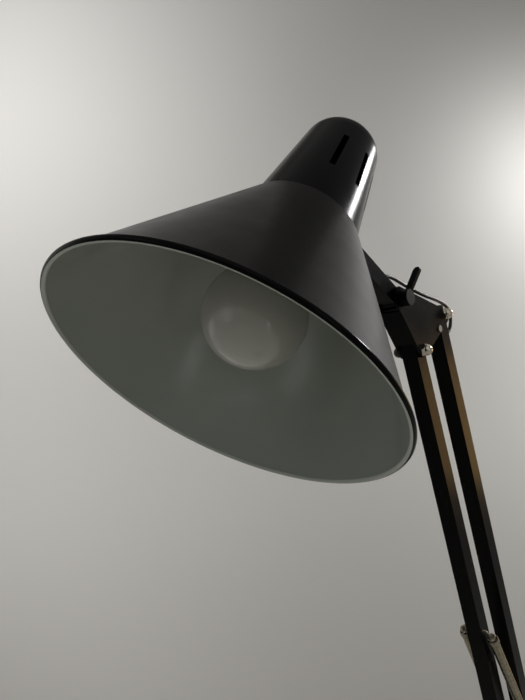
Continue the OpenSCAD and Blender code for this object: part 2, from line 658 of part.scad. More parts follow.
// Head
head_places = [head_front, knuckle, head_rear];
head_radii = [head_front_r, head_knuckle_r, head_rear_r];
head_top = head_rear + [0, head_edge];
edge_slope = (knuckle_z - upper_gap_z) / (knuckle_x + upper_gap_x) + 0.06;
web_line = slab(head_front, head_front_r, knuckle, head_knuckle_r);
web_way = unit(web_line[2] - web_line[3]);
web_in = [-web_way[1], web_way[0]];
web_low = web_line[3] + 10 * web_way;
web_high = web_line[2] - 5 * web_way;
module head_bracket() color(black) difference() {
    union() {
        linked_plate(head_places, head_radii, cheek_in, cheek_out);
        linked_plate(head_places, head_radii, -cheek_out, -cheek_in);
        side_plate([web_low, web_high, web_high + sheet * web_in, web_low + sheet * web_in],
            -cheek_out, cheek_out);
    }
    side_plate([head_top - [30, 30 * edge_slope], head_top + [110, 110 * edge_slope], head_top + [110, 40],
        head_top + [-30, 40]], -cheek_out - 1, cheek_out + 1);
    for (p = [head_front, head_rear])
        across(p, pin_d / 2 + seat_gap, -cheek_out - 1, cheek_out + 1);
    across(knuckle, bolt_d / 2 + pin_fit, -cheek_out - 1, cheek_out + 1);
    across(stop_place, rivet_d / 2 + seat_gap, -cheek_out - 1, cheek_out + 1);
}
module head_pins() color(nickel) for (p = [head_front, head_rear])
    across(p, pin_d / 2, -pin_end, pin_end);
module head_pin_caps() color(nickel) for (p = [head_front, head_rear])
    pin_cap(p, pin_end);
module head_pin_heads() color(satin_black) for (p = [head_front, head_rear])
    pin_head(p, pin_end);
module stop_rivet() color(nickel) {
    across(stop_place, rivet_d / 2, -cheek_out - 1, cheek_out + 1);
    across(stop_place, rivet_d / 2 + 0.8, cheek_out + seat_gap, cheek_out + 1.2);
    across(stop_place, rivet_d / 2 + 0.8, -cheek_out - 1.2, -cheek_out - seat_gap);
}
knuckle_nut_t = 5;
module knuckle_nut() color(nickel) difference() {
    translate([knuckle[0], -cheek_out - seat_gap, knuckle[1]]) rotate([90, 0, 0])
        cylinder(d = bolt_d + 5.5, h = knuckle_nut_t, $fn = 6);
    across(knuckle, bolt_d / 2 + pin_fit, -cheek_out - knuckle_nut_t - 2, 0);
}
wing_y0 = cheek_out + thrust_gap;
module wing_blade() translate([0, 0, -wing_t / 2]) linear_extrude(height = wing_t)
    polygon([[2, 1], [7, 2], [wing_reach - 2, 6], [wing_reach, 7.5], [wing_reach, 10], [wing_reach - 1.2, 11.2],
        [wing_reach - 3, 11], [8, 7.3], [6, 6.4], [2, 6.4]]);
module wing_knob() color(satin_black) {
    across(knuckle, wing_hub_d / 2, wing_y0, wing_y0 + wing_hub_len);
    across(knuckle, bolt_d / 2, -cheek_out - knuckle_nut_t - 1.5, wing_y0 + 1);
    translate([knuckle[0], wing_y0, knuckle[1]]) rotate([0, -wing_angle, 0]) wing_blade();
}

// Shade, drawn standing on its rim and then leaned
module on_shade() translate(lift(rim_centre, 0)) rotate([0, -shade_lean, 0]) children();
function cap_r(z) = cap_foot_r + (z - cap_z0) * (cap_top_r - cap_foot_r) / cap_len;
cap_round_z = cap_z1 - cap_round;
cap_round_r = cap_r(cap_round_z) - cap_round / cos(cap_taper);
function cap_outline(inset, z0) = concat(
    [[0, z0], [cap_r(z0) - inset / cos(cap_taper), z0]],
    [for (k = [0 : 10]) let (a = cap_taper + (90 - cap_taper) * k / 10)
        [cap_round_r, cap_round_z] + (cap_round - inset) * turn(a)],
    [[0, cap_z1 - inset]]);
foot_half = 24;
foot_t = 2.2;
foot_low = strap_foot_h - 14;
foot_high = strap_foot_h + 8;
rivet_places = [[163, strap_foot_h - 9.5], [197, strap_foot_h - 9.5]];
module at_rivets() for (p = rivet_places)
    rotate([0, 0, p[0]]) translate([cap_r(p[1]), 0, p[1]]) rotate([0, 90 - cap_taper, 0]) children();
module strap_rivets() color(nickel) on_shade() at_rivets() {
    translate([0, 0, -cap_wall - 1]) cylinder(r = 1.5, h = cap_wall + foot_t + 2);
    translate([0, 0, foot_t + 3 * seat_gap]) cylinder(r1 = 2.6, r2 = 1.8, h = 1.3);
    translate([0, 0, -cap_wall - 1.3 - seat_gap]) cylinder(r1 = 1.8, r2 = 2.6, h = 1.3 - seat_gap);
}
knuckle_local = [-strap_reach, knuckle_h];
foot_local = [5 - cap_r(strap_foot_h), strap_foot_h];
strap_way = unit(foot_local - knuckle_local);
strap_start = knuckle_local + (strap_w / 2 + 1) * strap_way;
strap_end = foot_local - (6 + foot_t) * strap_way;
module shade_strap() color(black) on_shade() difference() {
    union() {
        across(knuckle_local, boss_d / 2, thrust_gap - cheek_in, cheek_in - thrust_gap);
        across(knuckle_local, strap_w / 2, -strap_w / 2, strap_w / 2);
        side_plate(slab(knuckle_local, strap_w / 2, foot_local, strap_w / 2 + 0.01), -strap_w / 2, strap_w / 2);
        rotate([0, 0, 180 - foot_half]) rotate_extrude(angle = 2 * foot_half) polygon([
            [cap_r(foot_low) + 2 * seat_gap, foot_low], [cap_r(foot_low) + foot_t, foot_low],
            [cap_r(foot_high) + foot_t, foot_high], [cap_r(foot_high) + 2 * seat_gap, foot_high]]);
    }
    rotate_extrude() polygon([[0, cap_z0], [cap_r(cap_z0) + 2 * seat_gap, cap_z0],
        [cap_r(cap_round_z) + 2 * seat_gap, cap_round_z], [0, cap_round_z]]);
    across(knuckle_local, bolt_d / 2 + pin_fit, -cheek_in, cheek_in);
    side_plate(slab(strap_start, strap_w / 2 - strap_wall, strap_end, strap_w / 2 - strap_wall + 0.01),
        strap_wall - strap_w / 2, strap_w / 2 - strap_wall);
    at_rivets() cylinder(r = 1.5 + seat_gap, h = 12, center = true);
}
module shade_cone() color(satin_black) on_shade() difference() {
    rotate_extrude() {
        polygon([[cone_r, 0], [shade_top_r, shade_h], [top_hole_r, shade_h], [top_hole_r, shade_h - shade_wall],
            [shade_top_r + cone_slope * shade_wall - cone_wall_x, shade_h - shade_wall],
            [cone_r - cone_wall_x, 0]]);
        translate([cone_r, 0]) circle(r = bead_r);
    }
    for (a = screw_angles)
        rotate([0, 0, a]) translate([boss_ring_r, 0, shade_h - 3]) cylinder(r = 1.5 + seat_gap, h = 6);
}
module slot_outline() {
    translate([-slot_w / 2, slot_round]) square([slot_w, slot_len - 2 * slot_round]);
    translate([slot_round - slot_w / 2, 0]) square([slot_w - 2 * slot_round, slot_len]);
    for (x = [slot_round - slot_w / 2, slot_w / 2 - slot_round]) for (z = [slot_round, slot_len - slot_round])
        translate([x, z]) circle(r = slot_round, $fn = 24);
}
module socket_cap() color(black) on_shade() difference() {
    union() {
        difference() {
            rotate_extrude() polygon(cap_outline(0, cap_z0));
            rotate_extrude() polygon(cap_outline(cap_wall, cap_z0 - 1));
        }
        for (a = screw_angles)
            rotate([0, 0, a]) translate([boss_ring_r, 0, cap_z0]) cylinder(r = 3.25, h = boss_post_h);
    }
    for (a = screw_angles)
        rotate([0, 0, a]) translate([boss_ring_r, 0, cap_z0 - 1]) cylinder(r = 1.5 + seat_gap, h = 10);
    for (s = [-1, 1]) for (k = [0 : slot_count - 1])
        rotate([0, 0, s * (90 + (k - (slot_count - 1) / 2) * slot_step)])
            translate([cap_top_r / 2, 0, cap_z0 + slot_rise]) rotate([90, 0, 90]) linear_extrude(height = cap_foot_r)
                slot_outline();
    translate([0, -lead_hole_side, lead_hole_h]) rotate([0, -90, 0])
        cylinder(d = arm_lead_d + 2 * lead_gap, h = cap_foot_r + 2);
    translate([0, 0, cap_z1 - 10]) cylinder(d = switch_d + 2 * seat_gap, h = 20);
    at_rivets() cylinder(r = 1.5 + seat_gap, h = 12, center = true);
}
module cap_screws() color(nickel) on_shade() for (a = screw_angles)
    rotate([0, 0, a]) translate([boss_ring_r, 0, shade_h - shade_wall - seat_gap]) {
        translate([0, 0, -2]) cylinder(r1 = 2, r2 = 3, h = 2);
        translate([0, 0, -1]) cylinder(r = 1.5, h = 9);
    }
module lamp_holder() color(black) on_shade() difference() {
    union() {
        translate([0, 0, holder_mouth]) cylinder(r = holder_r, h = shade_h - holder_mouth + 2);
        translate([0, 0, shade_h + seat_gap]) cylinder(r = holder_r + 3.5, h = 4);
        translate([0, 0, shade_h + 2]) cylinder(r = holder_r - 1, h = holder_top - 2);
    }
    translate([0, 0, holder_mouth - 1]) cylinder(r = holder_bore, h = holder_floor - holder_mouth + 1);
}
module holder_ring() color(black) on_shade() difference() {
    translate([0, 0, shade_h - shade_wall - seat_gap - 7]) cylinder(r = holder_r + 6, h = 7);
    translate([0, 0, shade_h - shade_wall - 9]) cylinder(r = holder_r + seat_gap, h = 10);
}

// Bulb
module bulb_shape(inset, extra) {
    translate([0, 0, bulb_h]) sphere(r = bulb_r - inset);
    translate([0, 0, bulb_h + neck_join]) cylinder(r1 = sqrt(bulb_r * bulb_r - neck_join * neck_join) - inset,
        r2 = neck_r - inset, h = bulb_neck - neck_join + extra);
}
module bulb_glass() color([0.9, 0.9, 0.88, 0.5]) on_shade() difference() {
    bulb_shape(0, 0);
    bulb_shape(glass_t, 0.01);
}
module bulb_base() color(nickel) on_shade() {
    translate([0, 0, screw_z0]) cylinder(d = screw_d, h = screw_len - 5);
    translate([0, 0, screw_z0 + screw_len - 5]) cylinder(d1 = screw_d - 3, d2 = 11, h = 4);
    translate([0, 0, screw_z0 + screw_len - 2]) cylinder(d = 9, h = 2);
}
module bulb_stem() color([0.85, 0.85, 0.85]) on_shade() {
    translate([0, 0, bulb_h + 26]) cylinder(r1 = 3, r2 = 9, h = bulb_neck - 26);
    translate([0, 0, bulb_h + 4]) cylinder(r = 1.5, h = 24);
}

// Push switch in the end of the cap, and the lead gland of the base
switch_top = cap_z1 + switch_rise;
button_low = cap_z1 - 5;
module switch_body() color(black) on_shade() difference() {
    union() {
        translate([0, 0, cap_z1 - switch_len]) cylinder(d = switch_d, h = switch_len + switch_rise);
        translate([0, 0, cap_z1 - switch_len])
            cylinder(d = switch_d + 4, h = switch_len - cap_wall - seat_gap);
    }
    translate([0, 0, button_low - button_travel - 1]) cylinder(d = button_d + 2 * thrust_gap, h = 20);
}
module switch_nut() color(nickel) on_shade() difference() {
    translate([0, 0, cap_z1 + seat_gap]) cylinder(d = switch_nut_d, h = switch_nut_h);
    translate([0, 0, cap_z1 - 1]) cylinder(d = switch_d + 2 * seat_gap, h = switch_nut_h + 3);
}
module switch_button() color(satin_black) on_shade()
    translate([0, 0, button_low]) cylinder(d = button_d, h = switch_top + button_rise - button_low);
module cord_gland() color(black) rotate([0, 0, gland_angle]) translate([base_r + seat_gap, 0, gland_z])
    rotate([0, 90, 0]) difference() {
        union() {
            translate([0, 0, -cover_wall]) cylinder(r = gland_root_r, h = cover_wall + 1);
            cylinder(r1 = gland_flange_r, r2 = gland_flange_r - 0.6, h = 1.8);
            cylinder(r1 = gland_root_r + 0.6, r2 = gland_root_r, h = 5);
        }
        translate([0, 0, -cover_wall - 1]) cylinder(d = gland_bore, h = 20);
    }

// Thin lead along the arms
function shade_place(q, y, s) = lift(rim_centre + q * shade_out + s * shade_up, y);
head_start = [shade_place(-cap_r(lead_hole_h) + 1.6, -lead_hole_side, lead_hole_h),
    shade_place(-42, -lead_hole_side, lead_hole_h), shade_place(-56, -5.6, lead_hole_h + 0.5),
    shade_place(-70, -5.2, lead_hole_h + 1.5)];
upper_rear_way = [cos(upper_lean), -sin(upper_lean)];
lower_rear_way = [cos(lower_lean), sin(lower_lean)];
bracket_end = head_rear - head_hole_at * upper_up - (tube_w / 2 - tube_wall) * upper_rear_way;
elbow_up_start = elbow_top_rear + lead_hole_at * upper_up - (tube_w / 2 - tube_wall) * upper_rear_way;
elbow_low_end = elbow_low_rear - lead_hole_at * lower_up - (tube_w / 2 - tube_wall) * lower_rear_way;
turret_start = turret_rear + turret_hole_at * lower_up + (tube_w / 2 - tube_wall) * lower_rear_way;
module arm_lead(route, a, b) color(black) tube(smooth(route, 2), arm_lead_d, 8, a, b);
module head_lead() arm_lead(concat(head_start, beside(knuckle, head_offsets)),
    lift(-shade_out, 0), unit([-1, 0, -0.15]));
module bracket_lead() arm_lead(concat(beside(knuckle, bracket_offsets), [lift(bracket_end, 0)]),
    unit([-1, 0, -0.15]), lift(upper_rear_way, 0));
module elbow_lead_upper() arm_lead(concat([lift(elbow_up_start, 0)], beside(elbow_low_front, elbow_up_offsets)),
    lift(-upper_rear_way, 0), [0, 0, -1]);
module elbow_lead_lower() arm_lead(concat(beside(elbow_low_front, elbow_low_offsets), [lift(elbow_low_end, 0)]),
    [0, 0, -1], lift(lower_rear_way, 0));
module turret_lead() arm_lead(concat([lift(turret_start, 0)], beside(turret_rear, turret_offsets),
    [[0, 0, turret_floor + 2], [0, 0, turret_floor - 8]]), lift(lower_rear_way, 0), [0, 0, -1]);

base_weight();
base_cover();
base_pad();
base_washer();
base_nut();
pole_foot();
pole_flange();
pole_lower();
pole_joiner();
pole_upper();
swivel_bush();
cord_gland();
turret_bracket();
swivel_spigot();
turret_pins();
turret_pin_caps();
turret_pin_heads();
turret_lead();
lower_front_bar();
lower_springs();
lower_rear_bar();
elbow_plate_left();
elbow_plate_right();
elbow_pins();
elbow_pin_caps();
elbow_pin_heads();
elbow_spacer();
elbow_lead_upper();
elbow_lead_lower();
upper_front_bar();
upper_springs();
upper_rear_bar();
head_bracket();
head_pins();
head_pin_caps();
head_pin_heads();
stop_rivet();
knuckle_nut();
bracket_lead();
wing_knob();
shade_strap();
strap_rivets();
shade_cone();
socket_cap();
cap_screws();
switch_body();
switch_nut();
switch_button();
lamp_holder();
holder_ring();
bulb_glass();
bulb_base();
bulb_stem();
head_lead();
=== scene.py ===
"""Looks of an adjustable floor lamp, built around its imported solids: its leads, springs, shade, bulb
and finishes."""

import json
import math

import bmesh
import bpy
from mathutils import Matrix, Vector


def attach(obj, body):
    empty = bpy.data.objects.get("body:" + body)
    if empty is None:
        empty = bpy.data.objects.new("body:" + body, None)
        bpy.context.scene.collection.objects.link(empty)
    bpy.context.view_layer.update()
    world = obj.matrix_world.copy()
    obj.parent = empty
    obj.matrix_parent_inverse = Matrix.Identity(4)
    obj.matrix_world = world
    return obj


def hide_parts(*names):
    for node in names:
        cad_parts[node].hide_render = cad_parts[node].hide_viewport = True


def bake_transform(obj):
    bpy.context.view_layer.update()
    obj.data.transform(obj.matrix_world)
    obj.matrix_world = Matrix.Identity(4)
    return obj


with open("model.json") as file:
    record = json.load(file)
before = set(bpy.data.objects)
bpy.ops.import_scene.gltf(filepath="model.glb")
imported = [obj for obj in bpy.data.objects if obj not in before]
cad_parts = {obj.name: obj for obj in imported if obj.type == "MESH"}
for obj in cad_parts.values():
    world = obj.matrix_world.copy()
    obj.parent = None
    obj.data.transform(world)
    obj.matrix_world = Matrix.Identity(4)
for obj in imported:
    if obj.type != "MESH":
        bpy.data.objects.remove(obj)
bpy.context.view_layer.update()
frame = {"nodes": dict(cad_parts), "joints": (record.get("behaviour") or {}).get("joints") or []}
nodes = frame["nodes"]
pivot = {joint["name"]: Vector(joint["pos_m"]) for joint in frame["joints"] if joint["type"] == "hinge"}
MM = 0.001

# Pivots of the two arms, and the shade's own frame: its rim lies at z 0 and its axis is z
turret_rear = pivot["lower_arm"]
turret_front = pivot["lower_front_link"]
elbow_low_rear = pivot["elbow_level"]
elbow_low_front = elbow_low_rear + turret_front - turret_rear
elbow_top_rear = pivot["upper_arm"]
elbow_top_front = pivot["upper_front_link"]
head_rear = pivot["head_level"]
head_front = head_rear + elbow_top_front - elbow_top_rear
knuckle = pivot["shade_tilt"]
lower_up = (elbow_low_rear - turret_rear).normalized()
upper_up = (head_rear - elbow_top_rear).normalized()
lower_way = Vector((lower_up.z, 0, -lower_up.x))
upper_way = Vector((upper_up.z, 0, -upper_up.x))
SHADE_LEAN = math.radians(-33)
STRAP_REACH = 102.6 * MM
KNUCKLE_HEIGHT = 151.6 * MM
shade_turn = Matrix.Rotation(SHADE_LEAN, 4, "Y")
rim_centre = knuckle - shade_turn.to_3x3() @ Vector((-STRAP_REACH, 0, KNUCKLE_HEIGHT))
shade_frame = Matrix.Translation(rim_centre) @ shade_turn

# Camera: close in front of the shade and a little below its rim, looking up and back
CAMERA_FROM_RIM = Vector((173.72, 205.97, -16.36)) * MM
CAMERA_PITCH = math.radians(7.344)
CAMERA_HEADING = math.radians(135.085)
LENS_LENGTH = 27.05
SENSOR_SIZE = 36
NEAREST_SEEN = 10 * MM


def make_camera():
    lens = bpy.data.cameras.new("camera")
    lens.sensor_fit = "VERTICAL"
    lens.sensor_width = SENSOR_SIZE
    lens.sensor_height = SENSOR_SIZE
    lens.lens = LENS_LENGTH
    lens.clip_start = NEAREST_SEEN
    camera = bpy.data.objects.new("camera", lens)
    camera.location = rim_centre + CAMERA_FROM_RIM
    camera.rotation_euler = (math.radians(90) + CAMERA_PITCH, 0, CAMERA_HEADING)
    bpy.context.collection.objects.link(camera)
    bpy.context.scene.camera = camera


make_camera()

# Finishes: sizes of their marks in millimetres, and the middle of a noise's range, where most of it lies
SKIN_DRIFT = 45
SKIN_MARKS = 14
PLATE_DRIFT = 6
PLATE_MARKS = 1.5
PLATE_MARK_DEPTH = 0.01
PLATE_MARK_STRENGTH = 0.15
GLASS_RIPPLE_DEPTH = 0.05
GLASS_IOR = 1.5
NOISE_LOW = 0.3
NOISE_HIGH = 0.7


def paint(hex_colour):
    """An sRGB hex colour as linear red, green, blue and alpha."""
    parts = [int(hex_colour[i:i + 2], 16) / 255 for i in (1, 3, 5)]
    return [p / 12.92 if p <= 0.04045 else ((p + 0.055) / 1.055) ** 2.4 for p in parts] + [1.0]


def add(tree, kind, settings=(), inputs=(), links=()):
    """Adds one node with its settings, its input values and the sockets that feed it."""
    made = tree.nodes.new(kind)
    for name, value in dict(settings).items():
        setattr(made, name, value)
    for name, value in dict(inputs).items():
        made.inputs[name].default_value = value
    for name, source in dict(links).items():
        tree.links.new(source, made.inputs[name])
    return made


def per_mm(size):
    """Noise scale whose features are about this many millimetres across."""
    return 1 / (size * MM)


def new_finish(name, **sockets):
    """A material with one Principled shader, whose sockets hold the given constants."""
    finish = bpy.data.materials.new(name)
    finish.use_nodes = True
    tree = finish.node_tree
    shader = tree.nodes["Principled BSDF"]
    for socket, value in sockets.items():
        shader.inputs[socket.replace("_", " ")].default_value = value
    place = add(tree, "ShaderNodeTexCoord").outputs["Object"]
    return finish, tree, shader, place


def even_skin(name, colours, rough, pebble, depth, strength, **sockets):
    """A painted, moulded or cast skin: a faint drift between two colours, marks in its gloss and fine
    pebbles, whose size and depth are in millimetres."""
    finish, tree, shader, place = new_finish(name, **sockets)
    drift = add(tree, "ShaderNodeTexNoise", inputs={"Scale": per_mm(SKIN_DRIFT), "Detail": 2.0},
                links={"Vector": place})
    tone = add(tree, "ShaderNodeMix", {"data_type": "RGBA"}, {6: paint(colours[0]), 7: paint(colours[1])},
               {0: drift.outputs["Fac"]})
    marks = add(tree, "ShaderNodeTexNoise", inputs={"Scale": per_mm(SKIN_MARKS), "Detail": 4.0},
                links={"Vector": place})
    gloss = add(tree, "ShaderNodeMapRange",
                inputs={"From Min": NOISE_LOW, "From Max": NOISE_HIGH,
                        "To Min": rough[0], "To Max": rough[1]},
                links={"Value": marks.outputs["Fac"]})
    skin = add(tree, "ShaderNodeTexNoise", inputs={"Scale": per_mm(pebble), "Detail": 2.0},
               links={"Vector": place})
    bump = add(tree, "ShaderNodeBump", inputs={"Strength": strength, "Distance": depth * MM},
               links={"Height": skin.outputs["Fac"]})
    tree.links.new(tone.outputs[2], shader.inputs["Base Color"])
    tree.links.new(gloss.outputs["Result"], shader.inputs["Roughness"])
    tree.links.new(bump.outputs["Normal"], shader.inputs["Normal"])
    return finish


def textured_black():
    # Fine-textured powder coat on spun steel: near black, its grains break each highlight into a soft sheen.
    # The real grain is about 0.3 mm, and it is drawn at 1.3 mm so that it shows.
    return even_skin("fine_textured_black_powder_coat", ("#090908", "#0e0e0d"), rough=(0.31, 0.35),
                     pebble=1.3, depth=0.18, strength=0.8, Specular_IOR_Level=0.07)


def rim_paint():
    # Smooth black paint on the rolled rim: glossier than the cone, so the rim has one thin bright line.
    return even_skin("gloss_black_rim_paint", ("#040404", "#070707"), rough=(0.1, 0.15),
                     pebble=2.0, depth=0.01, strength=0.1, Specular_IOR_Level=0.05)


def inner_enamel():
    # Sprayed pale grey enamel inside the shade: half matt, with soft streaks of light and a trace of
    # orange peel.
    return even_skin("pale_grey_sprayed_enamel", ("#a7aea5", "#b1b7ae"), rough=(0.2, 0.26),
                     pebble=3.0, depth=0.02, strength=0.15)


def cap_lacquer():
    # Semi-gloss black lacquer on the drawn cap: smooth, with one long bright highlight.
    return even_skin("semi_gloss_black_lacquer", ("#050505", "#080808"), rough=(0.2, 0.26),
                     pebble=2.0, depth=0.01, strength=0.12, Specular_IOR_Level=0.05)


def arm_paint():
    # Satin black stove enamel on steel tube and sheet: dark and even, with soft reflections.
    return even_skin("satin_black_stove_enamel", ("#050505", "#080807"), rough=(0.2, 0.28),
                     pebble=1.6, depth=0.015, strength=0.15, Specular_IOR_Level=0.05)


def black_nylon():
    # Moulded black nylon: a dull, slightly grey skin with fine spark texture.
    return even_skin("moulded_black_nylon", ("#050505", "#080808"), rough=(0.45, 0.55),
                     pebble=0.7, depth=0.02, strength=0.3, Specular_IOR_Level=0.07)


def lead_sleeve():
    # Black PVC sleeve of a thin two-core lead: smooth and half matt.
    return even_skin("black_pvc_sleeve", ("#080808", "#0c0c0c"), rough=(0.4, 0.5),
                     pebble=1.2, depth=0.02, strength=0.2, Specular_IOR_Level=0.3)


def black_oxide():
    # Black oxide on the round heads of the pivot pins: oily dark steel with a dull shine.
    return even_skin("black_oxide_steel", ("#0b0b0b", "#12110f"), rough=(0.3, 0.4),
                     pebble=1.0, depth=0.01, strength=0.2, Specular_IOR_Level=0.3)


def pad_foam():
    # Dark foam rubber under the base: matt, with open pores.
    return even_skin("dark_foam_rubber", ("#202020", "#2a2a29"), rough=(0.85, 0.95),
                     pebble=1.5, depth=0.3, strength=0.6)


def cast_iron():
    # Sand-cast grey iron: rough, dark, mottled grey.
    return even_skin("sand_cast_grey_iron", ("#333335", "#414143"), rough=(0.6, 0.75),
                     pebble=1.8, depth=0.25, strength=0.7, Metallic=0.7)


def white_bakelite():
    # Moulded lamp holder: warm white thermoset with a low gloss.
    return even_skin("white_thermoset", ("#cfcabd", "#d8d3c6"), rough=(0.3, 0.4),
                     pebble=2.0, depth=0.01, strength=0.2)


def plated(name, colours, rough):
    """Plated steel: bright, with fine handling marks and a faint drift of tone."""
    finish, tree, shader, place = new_finish(name, Metallic=1.0)
    drift = add(tree, "ShaderNodeTexNoise", inputs={"Scale": per_mm(PLATE_DRIFT), "Detail": 2.0},
                links={"Vector": place})
    tone = add(tree, "ShaderNodeMix", {"data_type": "RGBA"}, {6: paint(colours[0]), 7: paint(colours[1])},
               {0: drift.outputs["Fac"]})
    marks = add(tree, "ShaderNodeTexNoise", inputs={"Scale": per_mm(PLATE_MARKS), "Detail": 5.0},
                links={"Vector": place})
    gloss = add(tree, "ShaderNodeMapRange",
                inputs={"From Min": NOISE_LOW, "From Max": NOISE_HIGH,
                        "To Min": rough[0], "To Max": rough[1]},
                links={"Value": marks.outputs["Fac"]})
    bump = add(tree, "ShaderNodeBump",
               inputs={"Strength": PLATE_MARK_STRENGTH, "Distance": PLATE_MARK_DEPTH * MM},
               links={"Height": marks.outputs["Fac"]})
    tree.links.new(tone.outputs[2], shader.inputs["Base Color"])
    tree.links.new(gloss.outputs["Result"], shader.inputs["Roughness"])
    tree.links.new(bump.outputs["Normal"], shader.inputs["Normal"])
    return finish


def bright_nickel():
    # Bright nickel plate on domed nuts, pins and rivets: mirror bright with a warm cast.
    return plated("bright_nickel_plate", ("#aca598", "#bcb5a8"), rough=(0.08, 0.18))


def spring_nickel_painted_shade():
    # Nickel-plated spring wire with painted shade: the whole wire is darker and browner than the nuts'
    # nickel, standing in for the shade in the gaps between its close curls.
    return plated("nickel_plated_spring_wire_painted_shade", ("#7c7664", "#938c7b"), rough=(0.2, 0.34))


def screw_shell():
    # Nickel-plated brass shell of the bulb's screw base: pale, with a dull shine.
    return plated("nickel_plated_screw_shell", ("#b9b39f", "#c6c0ae"), rough=(0.2, 0.32))


def lamp_glass(name, colour, ripple, strength, **sockets):
    """Glass of the bulb, with a slow ripple, whose size is in millimetres, on its skin."""
    finish, tree, shader, place = new_finish(name, Base_Color=paint(colour), IOR=GLASS_IOR, **sockets)
    wave = add(tree, "ShaderNodeTexNoise", inputs={"Scale": per_mm(ripple), "Detail": 2.0},
               links={"Vector": place})
    bump = add(tree, "ShaderNodeBump", inputs={"Strength": strength, "Distance": GLASS_RIPPLE_DEPTH * MM},
               links={"Height": wave.outputs["Fac"]})
    tree.links.new(bump.outputs["Normal"], shader.inputs["Normal"])
    return finish


def frosted_glass():
    # Blown bulb glass, frosted inside: a milky body under a glossy outer skin.
    return lamp_glass("frosted_bulb_glass", "#d4d4ca", ripple=18, strength=0.1, Roughness=0.4,
                      Transmission_Weight=0.35, Coat_Weight=0.6, Coat_Roughness=0.04)


def stem_glass():
    # Pressed glass stem inside the bulb: clear and slightly grey.
    return lamp_glass("pressed_stem_glass", "#c8ccc6", ripple=4, strength=0.2, Roughness=0.1,
                      Transmission_Weight=0.6)


shade_black = textured_black()
shade_pale = inner_enamel()
rim_black = rim_paint()
arm_black = arm_paint()
lead_black = lead_sleeve()
# The springs' nickel is painted darker and browner, as painted shade between the curls
spring_painted_shade_finish = spring_nickel_painted_shade()
bulb_finish = frosted_glass()

# Solids that keep their shape, by finish. All others have the arms' paint
NODE_FINISHES = {
    cast_iron(): ["base_weight"],
    pad_foam(): ["base_pad"],
    white_bakelite(): ["lamp_holder", "holder_ring"],
    screw_shell(): ["bulb_base"],
    stem_glass(): ["bulb_stem"],
    black_oxide(): ["turret_pin_heads", "elbow_pin_heads", "head_pin_heads"],
    cap_lacquer(): ["socket_cap"],
    black_nylon(): ["wing_knob", "switch_body", "switch_button", "swivel_bush", "cord_gland"],
    bright_nickel(): ["base_washer", "base_nut", "swivel_spigot", "turret_pins", "turret_pin_caps",
                      "elbow_pins", "elbow_pin_caps", "elbow_spacer", "head_pins", "head_pin_caps",
                      "stop_rivet", "knuckle_nut", "strap_rivets", "cap_screws", "switch_nut",
                      "pole_joiner"],
}
finish_of = {node: finish for finish, names in NODE_FINISHES.items() for node in names}
for name, node in nodes.items():
    node.data.materials.clear()
    node.data.materials.append(finish_of.get(name, arm_black))

# Ways to make the new pieces
CURVE_STEPS = 6
MERGE_DISTANCE = 0.002 * MM


def piece_from(name, mesh, finishes):
    for finish in finishes:
        mesh.materials.append(finish)
    piece = bpy.data.objects.new(name, mesh)
    bpy.context.collection.objects.link(piece)
    return piece


def wire(name, points, diameter, sides, finish, smooth=True):
    """A round wire or lead through the points, as a mesh with closed ends."""
    line = bpy.data.curves.new(name, "CURVE")
    line.dimensions = "3D"
    line.bevel_depth = diameter / 2
    line.bevel_resolution = sides // 4 - 1
    line.use_fill_caps = True
    line.twist_mode = "MINIMUM"
    line.resolution_u = CURVE_STEPS
    if smooth:
        spline = line.splines.new("BEZIER")
        spline.bezier_points.add(len(points) - 1)
        for handle, point in zip(spline.bezier_points, points):
            handle.co = point
            handle.handle_left_type = "AUTO"
            handle.handle_right_type = "AUTO"
    else:
        spline = line.splines.new("POLY")
        spline.points.add(len(points) - 1)
        for handle, point in zip(spline.points, points):
            handle.co = (*point, 1)
    drawn = bpy.data.objects.new(name + "_line", line)
    bpy.context.collection.objects.link(drawn)
    mesh = bpy.data.meshes.new_from_object(drawn.evaluated_get(bpy.context.evaluated_depsgraph_get()))
    bpy.data.objects.remove(drawn)
    mesh.name = name
    mesh.materials.clear()
    mesh.shade_smooth()
    return piece_from(name, mesh, [finish])


def arc(middle, radius, start, end, steps):
    """Points of a profile on a round stretch, as radius and height."""
    angles = [math.radians(start + (end - start) * i / steps) for i in range(steps + 1)]
    return [(middle[0] + radius * math.cos(a), middle[1] + radius * math.sin(a)) for a in angles]


def spun(name, profiles, finishes, steps):
    """A shell turned about the shade's axis. Each profile has its own finish, and they join end to end."""
    shell = bmesh.new()
    for index, profile in enumerate(profiles):
        rim = [shell.verts.new((r * MM, 0, z * MM)) for r, z in profile]
        line = [shell.edges.new(pair) for pair in zip(rim, rim[1:])]
        old = set(shell.faces)
        bmesh.ops.spin(shell, geom=rim + line, cent=(0, 0, 0), axis=(0, 0, 1), angle=math.tau,
                       steps=steps, use_merge=True)
        for face in shell.faces:
            if face not in old:
                face.material_index = index
    bmesh.ops.remove_doubles(shell, verts=shell.verts, dist=MERGE_DISTANCE)
    bmesh.ops.recalc_face_normals(shell, faces=shell.faces)
    shell.transform(shade_frame)
    mesh = bpy.data.meshes.new(name)
    shell.to_mesh(mesh)
    shell.free()
    mesh.shade_smooth()
    return piece_from(name, mesh, finishes)


# Thin lead: five stretches, each running from one body to the next
LEAD_DIAMETER = 3 * MM
LEAD_SIDES = 16
TUBE_WIDTH = 13 * MM
TUBE_WALL = 1.2 * MM
LEAD_HOLE = 26 * MM
HEAD_HOLE = 20 * MM
TURRET_HOLE = 22 * MM
TURRET_FLOOR = 650 * MM
LEAD_ABOVE_FLOOR = 2 * MM
LEAD_BELOW_FLOOR = 8 * MM
